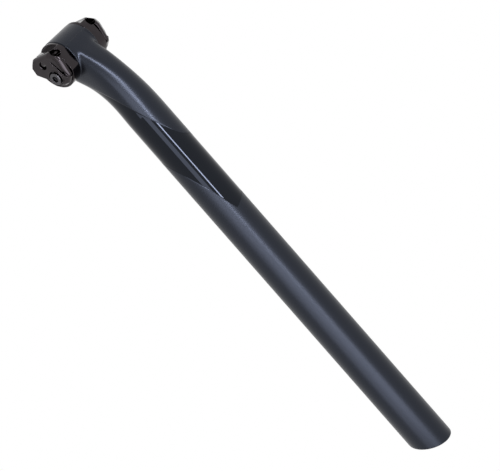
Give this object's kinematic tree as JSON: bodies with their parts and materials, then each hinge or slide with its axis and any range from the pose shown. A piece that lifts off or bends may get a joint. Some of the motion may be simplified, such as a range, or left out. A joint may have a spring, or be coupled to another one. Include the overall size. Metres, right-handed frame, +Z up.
{
  "type": "bicycle seatpost",
  "caption": "Setback bicycle seatpost: a slanted-end tube with a bent neck and a cross barrel, whose side clamps hold the saddle rails and turn to set the saddle's tilt.",
  "frame": {"origin": "on the tube's axis, at the height where its slanted lower end becomes a full round", "axes": "+Z up along the tube, +Y towards the front of the bicycle, +X to the rider's right"},
  "size_m": [0.058, 0.0535, 0.4238],
  "materials": {
    "carbon": "matte",
    "anodised_alloy": "satin",
    "bolt_steel": "satin"
  },
  "bodies": {
    "seatpost": {"post": "carbon"},
    "clamp_head": {"inner_cradle_right": "anodised_alloy", "inner_cradle_left": "anodised_alloy", "outer_clamp_right": "anodised_alloy", "outer_clamp_left": "anodised_alloy", "clamp_bolt": "bolt_steel", "bolt_washer": "bolt_steel", "clamp_nut": "bolt_steel"}
  },
  "joints": [
    {"name": "saddle_tilt", "type": "hinge", "parent": "seatpost", "child": "clamp_head", "pos_m": [0, -0.02, 0.38963], "axis": [1, 0, 0], "range_deg": [-30, 30]}
  ]
}
